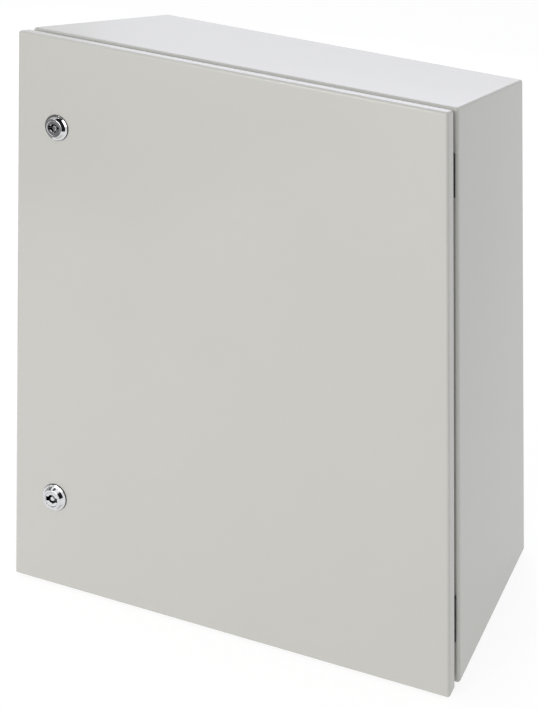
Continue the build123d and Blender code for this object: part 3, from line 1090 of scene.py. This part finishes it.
@dataclass
class EnclosureBody:
    """Four walls folded from one sheet, a rim folded in round the front, and its rain lip.

    The bend from the walls to the rim is drawn 1 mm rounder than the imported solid's, because
    the coat rounds it.
    """

    sheet: float = 1.5
    bend: float = 1.5
    front_bend: float = 2.5
    rim_width: float = 22.0
    opening_corner: float = 3.0
    screw_hole: float = 2.2
    cable_opening: tuple[float, float] = (290.0, 80.0)
    cable_corner: float = 6.0
    wall_hole: float = 4.25
    wall_hole_from_edge: float = 25.0
    box: Box = field(default_factory=lambda: Box.of("enclosure_body"))
    rear: Box = field(default_factory=lambda: Box.of("rear_panel"))
    leaf: Box = field(default_factory=lambda: Box.of("upper_hinge_body_leaf"))
    gland: Box = field(default_factory=lambda: Box.of("gland_gasket"))

    def build(self) -> None:
        """Builds the body and the rear panel."""
        finished("enclosure_shell", self.shell(), GREY_COAT, Body.ENCLOSURE, "enclosure_body")
        finished("rear_pan", self.rear_pan(), GREY_COAT, Body.ENCLOSURE, "rear_panel")

    def shell(self) -> Shape:
        """The walls, rim and lip, with the cable opening and the hinges' screw holes."""
        rim_front = self.leaf.high.y
        outside = self.bend + self.sheet
        fold = self.rim_width - self.sheet - self.bend
        corner = self.opening_corner + self.sheet + self.bend
        front = self.front_bend + self.sheet
        stations = [Station(0, self.box.high.y, outside), *round_bend(front, rim_front, 1, outside)]
        for angle in angles(math.pi / 2, 5):
            stations.append(Station(
                fold + self.bend * math.sin(angle),
                rim_front - self.bend * (1 - math.cos(angle)),
                corner - self.bend * math.sin(angle)))
        stations.append(Station(fold + self.bend, self.box.low.y, corner - self.bend))
        return combined(thickened(lofted(self.box, stations), self.sheet), self.cutters())

    def cutters(self) -> Shape:
        """The cable opening and the screw holes as solid shapes."""
        half_x = self.cable_opening[0] / 2
        half_y = self.cable_opening[1] / 2
        middle = self.gland.middle.y
        opening = slab((-half_x, middle - half_y, -5), (half_x, middle + half_y, 5), self.cable_corner)
        return merged(opening, at_each(Hinges().screw_places(), rod(self.screw_hole, -5, 5)))

    def rear_pan(self) -> Shape:
        """The rear panel with its four wall holes."""
        shape = FoldedPan(self.rear, self.sheet, self.bend, False, self.bend + self.sheet).shape()
        places = self.box.near_corners(self.wall_hole_from_edge, self.rear.high.y)
        return combined(shape, at_each(places, rod(self.wall_hole, -8, 8)))


@dataclass
class Door:
    """The door: its pan, the foamed seal and the two perforated rails.

    The pan's bend is drawn 1.5 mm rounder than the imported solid's, because the coat rounds it.
    """

    sheet: float = 1.5
    bend: float = 2.0
    corner: float = 2.8
    thread_radius: float = 11.15
    thread_flats: float = 20.3
    seal_width: float = 14.0
    seal_corner: float = 2.0
    seal_join_from_middle: float = 60.0
    seal_join_width: float = 9.0
    rail_sheet: float = 1.5
    rail_bend: float = 1.0
    rail_hole: float = 3.25
    rail_pitch: float = 50.0
    rail_hole_end: float = 15.0
    panel: Box = field(default_factory=lambda: Box.of("door_panel"))
    seal: Box = field(default_factory=lambda: Box.of("door_seal"))

    def build(self) -> None:
        """Builds the door's own pieces."""
        finished("door_pan", self.pan(), GREY_COAT, Body.DOOR, "door_panel")
        finished("foamed_door_seal", self.foamed_seal(), FOAM, Body.DOOR, "door_seal")
        for node in ("hinge_side_rail", "lock_side_rail"):
            finished(f"perforated_{node}", self.rail(Box.of(node)), GREY_COAT, Body.DOOR, node)

    def pan(self) -> Shape:
        """The door's pan with the two lock holes, round with two flat sides."""
        shape = FoldedPan(self.panel, self.sheet, self.bend, True, self.corner).shape()
        half = self.thread_flats / 2
        hole = combined(rod(self.thread_radius, -6, 6, sides=64), block((-half, -20, -5), (half, 20, 5)),
                        "INTERSECT")
        middles = [level.box("lock_housing").middle for level in Level]
        places = [at(middle.x, self.panel.low.y, middle.z) @ INWARDS for middle in middles]
        return combined(shape, at_each(places, hole))

    def foamed_seal(self) -> Shape:
        """The seal as a foamed bead: domed, a little uneven, with the place where its ends met."""
        half_width = self.seal_width / 2
        height = self.seal.size.y
        base = self.seal.low.y
        stations = []
        for angle in angles(math.pi, 16):
            across = half_width * math.copysign(abs(math.cos(angle)) ** 0.55, math.cos(angle))
            rise = height * math.sin(angle) ** 0.6
            stations.append(Station(
                half_width - across, base + rise, self.seal_corner + half_width + across))
        shape = lofted(self.seal, stations, looped=True)
        runs = [edge for edge in shape.edges if edge.calc_length() > 100]
        bmesh.ops.subdivide_edges(shape, edges=runs, cuts=60)
        join_x = self.seal.middle.x - self.seal_join_from_middle
        for vertex in shape.verts:
            rise = (vertex.co.y - base) / height
            sway = noise.noise(vertex.co * 0.03) * 0.5 + noise.noise(vertex.co * 0.15) * 0.25
            near = 0.0
            if vertex.co.z < self.seal.low.z + 20:
                near = math.exp(-((vertex.co.x - join_x) / self.seal_join_width) ** 2)
            vertex.co.y -= rise * (0.25 + 0.5 * abs(sway) + 0.7 * near * abs(noise.noise(vertex.co * 0.3)))
            vertex.co.z += 0.5 * near * rise * noise.noise(vertex.co * 0.2)
        return shape

    def rail(self, box: Box) -> Shape:
        """A perforated rail, welded upright on the inside of the door.

        Args:
            box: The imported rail's corners.

        Returns:
            The rail.
        """
        shape = FoldedChannel(box, self.rail_sheet, self.rail_bend, False).shape()
        count = int((box.size.z - 2 * self.rail_hole_end) // self.rail_pitch) + 1
        first = box.middle.z - (count - 1) * self.rail_pitch / 2
        places = [at(box.middle.x, box.high.y, first + step * self.rail_pitch) @ INWARDS
                  for step in range(count)]
        return combined(shape, at_each(places, rod(self.rail_hole, -4, 4)))


@dataclass
class Hinges:
    """Two concealed hinges on the right: a leaf on the rim, a leaf in the door's fold, a pin."""

    length: float = 45.0
    knuckle: float = 3.3
    pin: float = 2.0
    pin_play: float = 0.05
    middle_knuckle: float = 22.4
    end_play: float = 0.3
    leaf_sheet: float = 2.0
    body_reach: float = 13.5
    relief: float = 5.0
    overlap: float = 0.5
    screw_spacing: float = 28.0
    screw: float = 2.0
    screw_hole: float = 2.2
    screw_head: float = 3.5
    screw_head_height: float = 2.2
    screw_thread_pitch: float = 0.7
    nut_flats: float = 7.0
    door_sheet: float = 1.5
    door: Box = field(default_factory=lambda: Box.of("door_panel"))
    rim: float = field(default_factory=lambda: Box.of("upper_hinge_body_leaf").high.y)

    def axis(self, level: Level) -> Vector:
        """The middle of one hinge's axis."""
        pin = level.box("hinge_pin").middle
        return Vector((pin.x, pin.y, level.box("hinge_body_leaf").middle.z))

    def screw_places(self, depth: float | None = None) -> list[Matrix]:
        """Where the screws of both hinges go through the rim, pointing inwards.

        Args:
            depth: Where the places are along Y, which is the rim's front unless it is given.

        Returns:
            The places.
        """
        depth = self.rim if depth is None else depth
        out = (self.body_reach + self.relief) / 2
        places = []
        for level in Level:
            axis = self.axis(level)
            places += [at(axis.x - out, depth, axis.z + side * self.screw_spacing / 2) @ INWARDS
                       for side in (-1, 1)]
        return places

    def build(self) -> None:
        """Builds both hinges, their screws and nuts."""
        for level in Level:
            place = Matrix.Translation(self.axis(level))
            for name, shape, body, node in (
                ("rim_leaf", moved(self.rim_leaf(), place), Body.ENCLOSURE, "hinge_body_leaf"),
                ("fold_leaf", moved(self.fold_leaf(level), place), Body.DOOR, "hinge_door_leaf"),
                ("headed_pin", self.headed_pin(level), Body.ENCLOSURE, "hinge_pin"),
            ):
                finished(f"{level.value}_{name}", shape, BLACK_COAT, body, f"{level.value}_{node}")
        nut = hex_nut(self.nut_flats, self.screw, *Box.of("hinge_nuts").span())
        for kind, shape in (("screws", self.screw_shape()), ("nuts", nut)):
            pieces = at_each(self.screw_places(0.0), shape)
            finished(f"rim_{kind}", pieces, ZINC_PLATE, Body.ENCLOSURE, f"hinge_{kind}")

    def joined(self, plates: Sequence[tuple], knuckles: Sequence[tuple[float, float]]) -> Shape:
        """Joins plates and knuckles into one leaf, drilled for the pin.

        Args:
            plates: The low and high corner of each plate.
            knuckles: Start and end of each knuckle.

        Returns:
            The leaf about the hinge's axis.
        """
        parts = [block(low, high) for low, high in plates]
        parts += [rod(self.knuckle, start, end, sides=40) for start, end in knuckles]
        leaf = parts[0]
        for part in parts[1:]:
            leaf = combined(leaf, part, "UNION")
        return combined(leaf, rod(self.pin + self.pin_play, -self.length, self.length))

    def rim_leaf(self) -> Shape:
        """The leaf on the rim, with the middle knuckle and two screw holes."""
        half = self.length / 2
        reach = self.middle_knuckle / 2
        back = self.knuckle + self.leaf_sheet
        leaf = self.joined([
            ((-self.body_reach, self.knuckle, -half), (-self.relief, back, half)),
            ((-self.relief - self.overlap, self.knuckle, -reach), (0, back, reach)),
            ((-self.knuckle, 0, -reach), (0, back, reach)),
        ], [(-reach, reach)])
        x = -(self.body_reach + self.relief) / 2
        places = [at(x, 0, side * self.screw_spacing / 2) @ INWARDS for side in (-1, 1)]
        return combined(leaf, at_each(places, rod(self.screw_hole, 0, back + 1)))

    def fold_leaf(self, level: Level) -> Shape:
        """The leaf inside the door's fold, with the two end knuckles.

        Args:
            level: Which hinge it is.

        Returns:
            The leaf about the hinge's axis.
        """
        axis = self.axis(level)
        front = level.box("hinge_door_leaf").low.y - axis.y
        half = self.length / 2
        inner = self.middle_knuckle / 2 + self.end_play
        low_x = self.door.high.x - self.door_sheet - self.leaf_sheet - axis.x
        high_x = low_x + self.leaf_sheet
        fold_back = self.door.high.y - axis.y
        return self.joined([
            ((low_x, front, -half), (high_x, fold_back, half)),
            ((low_x, fold_back - self.overlap, -half), (high_x, 0, -inner)),
            ((low_x, fold_back - self.overlap, inner), (high_x, 0, half)),
        ], [(-half, -inner), (inner, half)])

    def headed_pin(self, level: Level) -> Shape:
        """The pin of one hinge in place, with a domed head on top.

        Args:
            level: Which hinge it is.

        Returns:
            The pin.
        """
        box = level.box("hinge_pin")
        end, top = box.span("z")
        head = box.size.x / 2
        base = self.axis(level).z + self.length / 2 + self.end_play
        shape = turned([
            (0, end), (self.pin - 0.4, end), (self.pin, end + 0.4), (self.pin, base), (head, base),
            (head, base + 0.4), (head * 0.85, base + 0.75), (head * 0.5, top - 0.05), (0, top)], 32)
        return moved(shape, at(box.middle.x, box.middle.y, 0))

    def screw_shape(self) -> Shape:
        """A round-headed screw through leaf and rim, with a cross recess."""
        end = Box.of("hinge_screws").high.y
        seat = self.rim - self.leaf_sheet
        top = seat - self.screw_head_height
        dome = [(self.screw_head * math.sin(angle) ** 0.8, top + 1.3 * (1 - math.cos(angle)))
                for angle in angles(math.pi / 2, 6)]
        threads = thread_line(self.screw, seat + 3.6, end - 0.5, self.screw_thread_pitch)
        shape = turned([*dome, (self.screw_head, seat), (self.screw, seat), *threads,
                        (self.screw - self.screw_thread_pitch, end), (0, end)], 32)
        for turn in (20, 110):
            slot = block((-2.0, -0.42, top - 1), (2.0, 0.42, top + 1.3))
            shape = combined(shape, moved(slot, Matrix.Rotation(math.radians(turn), 4, "Z")))
        return shape


@dataclass
class QuarterTurnLock:
    """A quarter-turn lock: housing, turning insert with a double-bit key hole, cam and nut.

    It is built along Z with the door's face at zero, and then laid into the door.
    """

    level: Level
    seal: float = 0.8
    seal_width: float = 2.5
    flange: float = 13.6
    flange_thickness: float = 1.2
    flange_fall: float = 0.7
    head_base: float = 11.8
    head_face: float = 10.2
    head_rise: float = 3.4
    head_round: float = 0.8
    thread: float = 11.0
    thread_groove: float = 0.9
    thread_pitch: float = 1.5
    flats: float = 20.0
    reach: float = 21.0
    barrel: float = 7.7
    play: float = 0.05
    recess: float = 0.5
    collar: float = 8.7
    collar_depth: float = 3.0
    collar_play: float = 0.3
    key_hole: float = 4.3
    key_flare: float = 0.6
    key_slot: tuple[float, float] = (12.0, 3.0)
    key_depth: float = 12.0
    key_pin: float = 2.4
    key_pin_recess: float = 0.9
    nut_flats: float = 27.0
    square: float = 8.0
    cam_root: float = 20.0
    cam_tip: float = 15.0
    cam_tip_round: float = 4.0
    screw_flange: float = 6.5
    screw_flats: float = 8.0
    door_face: float = field(default_factory=lambda: Box.of("door_panel").low.y)
    face: float = field(init=False)
    cam_front: float = field(init=False)
    cam_back: float = field(init=False)

    def __post_init__(self) -> None:
        """Works out where the face is, and where the cam starts and ends."""
        self.face = -self.seal - self.flange_thickness - self.head_rise
        self.cam_front, self.cam_back = self.span("lock_cam")

    def span(self, node: str) -> tuple[float, float]:
        """Where one of this lock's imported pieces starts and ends, from the door's face."""
        low, high = self.level.box(node).span()
        return (low - self.door_face, high - self.door_face)

    def build(self) -> None:
        """Builds the lock and lays it into the door."""
        latch = self.level.latch
        middle = self.level.box("lock_housing").middle
        place = at(middle.x, self.door_face, middle.z) @ INWARDS
        seal_radius = self.level.box("lock_seal").size.x / 2
        seal = ring(seal_radius, seal_radius - self.seal_width, -self.seal, 0, edge=0.15, steps=64)
        nut = hex_nut(self.nut_flats, self.thread, *self.span("lock_nut"))
        for name, shape, finish, body, node in (
            ("lock_head", self.housing(), CHROME, Body.DOOR, "lock_housing"),
            ("lock_insert", self.insert(), CHROME, latch, "lock_barrel"),
            ("flange_seal", seal, RUBBER, Body.DOOR, "lock_seal"),
            ("thin_nut", nut, ZINC_PLATE, Body.DOOR, "lock_nut"),
            ("cam_plate", self.cam(middle.z), ZINC_PLATE, latch, "lock_cam"),
            ("flanged_screw", self.screw(), ZINC_PLATE, latch, "cam_screw"),
        ):
            level = self.level.value
            finished(f"{level}_{name}", moved(shape, place), finish, body, f"{level}_{node}")

    def housing(self) -> Shape:
        """The fixed part: head, flange, and a thread with two flat sides."""
        flange_front = -self.seal - self.flange_thickness
        rim_front = flange_front + self.flange_fall
        bore = self.barrel + self.play
        inside = self.collar + self.play
        groove = self.thread - self.thread_groove
        head = [(self.head_face - self.head_round + self.head_round * math.sin(angle),
                 self.face + self.head_round * (1 - math.cos(angle)))
                for angle in angles(math.radians(60), 6)]
        shape = turned([
            (bore, self.face + 0.35),
            (bore + 0.35, self.face),
            *head,
            (self.head_base - 0.15, flange_front - 0.3),
            (self.head_base, flange_front - 0.02),
            (self.head_base + 0.25, flange_front + 0.1),
            (self.flange - 0.25, rim_front - 0.1),
            (self.flange - 0.07, rim_front),
            (self.flange, rim_front + 0.15),
            (self.flange, -self.seal),
            (groove, -self.seal),
            (groove, 1.6),
            *thread_line(self.thread, 1.6, self.reach - 0.6, self.thread_pitch),
            (groove, self.reach),
            (inside, self.reach),
            (inside, self.collar_depth),
            (bore, self.collar_depth),
        ], 96, True)
        sides = bmesh.new()
        for side in (-1, 1):
            near, far = sorted((side * self.flats / 2, side * 20))
            block((near, -20, -self.seal), (far, 20, self.reach + 1), into=sides)
        return combined(shape, sides)

    def insert(self) -> Shape:
        """The turning part: a barrel with the key hole, its pin, and a square for the cam."""
        front = self.face + self.recess
        collar_start = self.collar_depth + self.collar_play
        shape = turned([
            (0, front), (self.barrel - 0.3, front), (self.barrel, front + 0.3),
            (self.barrel, collar_start), (self.collar, collar_start),
            (self.collar, self.cam_front), (0, self.cam_front)], 72)
        half = self.square / 2
        square = block((-half, -half, self.cam_front - 0.5), (half, half, self.cam_back - 0.2))
        return combined(combined(shape, square, "UNION"), self.key_cutter(front))

    def key_cutter(self, front: float) -> Shape:
        """The key hole as a solid: a round hole and two side slots, flared at the front.

        Args:
            front: Where the insert's face is.

        Returns:
            The cutter, with a hollow where the pin stays.
        """
        end = front + self.key_depth
        hole = turned([
            (0, front - 1), (self.key_hole + 2 * self.key_flare, front - 1),
            (self.key_hole, front + self.key_flare), (self.key_hole, end), (0, end)], 48)
        half_x = self.key_slot[0] / 2
        half_y = self.key_slot[1] / 2
        slot = block((-half_x, -half_y, front - 0.5), (half_x, half_y, end))
        for corner in slot.verts:
            if corner.co.z < front:
                corner.co.x *= 1.12
                corner.co.y *= 1.5
        tip = front + self.key_pin_recess
        pin = turned([
            (0, tip), (0.8 * self.key_pin, tip), (self.key_pin, tip + 0.4),
            (self.key_pin, end + 1), (0, end + 1)], 32)
        return combined(combined(hole, slot, "UNION"), pin)

    def cam(self, axis_height: float) -> Shape:
        """The cam: a tapered tongue with a round root and a square hole, its edges broken.

        Args:
            axis_height: How high the lock's axis is.

        Returns:
            The cam.
        """
        reach = axis_height - self.level.box("lock_cam").low.z
        root = self.cam_root / 2
        tip = self.cam_tip / 2
        shape = bmesh.new()
        corners = [shape.verts.new((x, y, self.cam_front))
                   for x, y in ((-root, 0), (-tip, reach), (tip, reach), (root, 0))]
        shape.faces.new(corners)
        rounded(shape, corners[1:3], self.cam_tip_round, affect="VERTICES")
        grown = bmesh.ops.extrude_face_region(shape, geom=list(shape.faces))
        risen(shape, grown, self.cam_back - self.cam_front)
        shape = combined(shape, rod(root, self.cam_front, self.cam_back, sides=64), "UNION")
        half = self.square / 2 + 0.1
        shape = combined(shape, block((-half, -half, self.cam_front - 1), (half, half, self.cam_back + 1)))
        bmesh.ops.dissolve_limit(shape, angle_limit=math.radians(1), verts=shape.verts, edges=shape.edges)
        return softened(shape, 0.3)

    def screw(self) -> Shape:
        """The flanged hexagon screw that holds the cam."""
        start = self.cam_back
        flange_end = start + 1.2
        shape = turned([
            (0, start - 9), (2.4, start - 9), (2.4, start), (self.screw_flange - 0.2, start),
            (self.screw_flange, start + 0.2), (self.screw_flange, start + 0.7),
            (self.screw_flange - 0.5, start + 0.95), (4.3, flange_end), (0, flange_end)], 48)
        head = hex_bar(self.screw_flats, flange_end - 0.3, self.span("cam_screw")[1])
        return combined(shape, head, "UNION")


@dataclass
class MountingPlate:
    """The galvanised plate that equipment is screwed to, on four welded studs."""

    sheet: float = 2.0
    bend: float = 2.0
    corner_cut: float = 6.0
    stud: float = 4.0
    stud_pitch: float = 1.25
    stud_from_edge: float = 15.0
    hole_play: float = 0.5
    ring_play: float = 0.2
    spacer: float = 8.0
    washer: float = 8.0
    nut_flats: float = 13.0
    plate: Box = field(default_factory=lambda: Box.of("mounting_plate"))

    def build(self) -> None:
        """Builds the plate and what holds it."""
        places = self.plate.near_corners(self.stud_from_edge)
        finished("equipment_plate", self.plate_shape(places), GALVANISED, Body.ENCLOSURE, "mounting_plate")
        studs = Box.of("plate_studs")
        hole = self.stud + self.ring_play
        rows = (
            ("threaded_plate_studs", "studs", stud(self.stud, studs.high.y, studs.low.y, self.stud_pitch)),
            ("plate_spacer_tubes", "spacers", ring(self.spacer, hole, *Box.of("plate_spacers").span())),
            ("plain_plate_washers", "washers", ring(self.washer, hole, *Box.of("plate_washers").span(), 0.2)),
            ("hexagon_plate_nuts", "nuts", hex_nut(self.nut_flats, self.stud, *Box.of("plate_nuts").span())),
        )
        for name, kind, shape in rows:
            finished(name, at_each(places, shape), ZINC_PLATE, Body.ENCLOSURE, f"plate_{kind}")

    def plate_shape(self, places: Sequence[Matrix]) -> Shape:
        """The plate with its long edges folded back, its corners cut and its holes.

        Args:
            places: Where the studs go through it.

        Returns:
            The plate.
        """
        low = self.plate.low
        high = self.plate.high
        cut = self.corner_cut
        corners = bmesh.new()
        for x in (low.x, high.x):
            for z in (low.z, high.z):
                block((x - cut, low.y - 5, z - cut), (x + cut, high.y + 5, z + cut), into=corners)
        shape = combined(FoldedChannel(self.plate, self.sheet, self.bend, True).shape(), corners)
        return combined(shape, at_each(places, rod(self.stud + self.hole_play, low.y - 3, low.y + 6)))


@dataclass
class GlandCover:
    """The cable opening's cover in the bottom, on a gasket and six studs."""

    corner: float = 4.0
    gasket_width: float = 10.0
    gasket_corner: float = 17.0
    stud: float = 3.0
    stud_margin: float = 8.0
    hole_play: float = 0.5
    nut_flats: float = 10.0
    cover: Box = field(default_factory=lambda: Box.of("gland_plate"))
    gasket: Box = field(default_factory=lambda: Box.of("gland_gasket"))

    def build(self) -> None:
        """Builds the cover, its gasket, studs and nuts."""
        half_x = self.cover.size.x / 2 - self.stud_margin
        half_y = self.cover.size.y / 2 - self.stud_margin
        places = [at(x, self.cover.middle.y + y, 0) for x in (-half_x, 0, half_x) for y in (-half_y, half_y)]
        drill = rod(self.stud + self.hole_play, self.cover.low.z - 2, self.cover.high.z + 2)
        plate = softened(slab(self.cover.low, self.cover.high, self.corner), 0.3)
        cover = combined(plate, at_each(places, drill))
        studs = at_each(places, stud(self.stud, *Box.of("gland_studs").span("z")))
        nuts = at_each(places, hex_nut(self.nut_flats, self.stud, *Box.of("gland_nuts").span("z")))
        for name, shape, finish, node in (
            ("cable_cover", cover, GREY_COAT, "gland_plate"),
            ("cover_gasket", self.gasket_shape(), RUBBER, "gland_gasket"),
            ("threaded_cover_studs", studs, ZINC_PLATE, "gland_studs"),
            ("hexagon_cover_nuts", nuts, ZINC_PLATE, "gland_nuts"),
        ):
            finished(name, shape, finish, Body.ENCLOSURE, node)

    def gasket_shape(self) -> Shape:
        """The gasket, a flat frame of even width with rounded corners."""
        inset = Vector((self.gasket_width, self.gasket_width, -2))
        outer = slab(self.gasket.low, self.gasket.high, self.gasket_corner)
        return combined(outer, slab(
            self.gasket.low + inset, self.gasket.high - inset, self.gasket_corner - self.gasket_width))


@dataclass
class EarthPoint:
    """A welded earth stud with its nut, in the body or in the door."""

    body: Body
    name: str
    along_z: bool
    radius: float = 3.0
    flats: float = 10.0

    def build(self) -> None:
        """Builds the stud and its nut."""
        box = Box.of(f"{self.name}_stud")
        axis = "z" if self.along_z else "y"
        place = (at(box.middle.x, box.middle.y, 0) if self.along_z
                 else at(box.middle.x, 0, box.middle.z) @ INWARDS)
        for word, kind, shape in (
            ("threaded", "stud", stud(self.radius, *box.span(axis))),
            ("hexagon", "nut", hex_nut(self.flats, self.radius, *Box.of(f"{self.name}_nut").span(axis))),
        ):
            node = f"{self.name}_{kind}"
            finished(f"{word}_{node}", moved(shape, place), ZINC_PLATE, self.body, node)


def main() -> None:
    """Builds the studio and every piece in order."""
    logging.basicConfig(level=logging.INFO, format="%(message)s")
    Studio().build()
    EnclosureBody().build()
    Door().build()
    Hinges().build()
    for level in Level:
        QuarterTurnLock(level).build()
    MountingPlate().build()
    GlandCover().build()
    EarthPoint(Body.ENCLOSURE, "body_earth", True).build()
    EarthPoint(Body.DOOR, "door_earth", False).build()


if __name__ == "__main__":
    main()
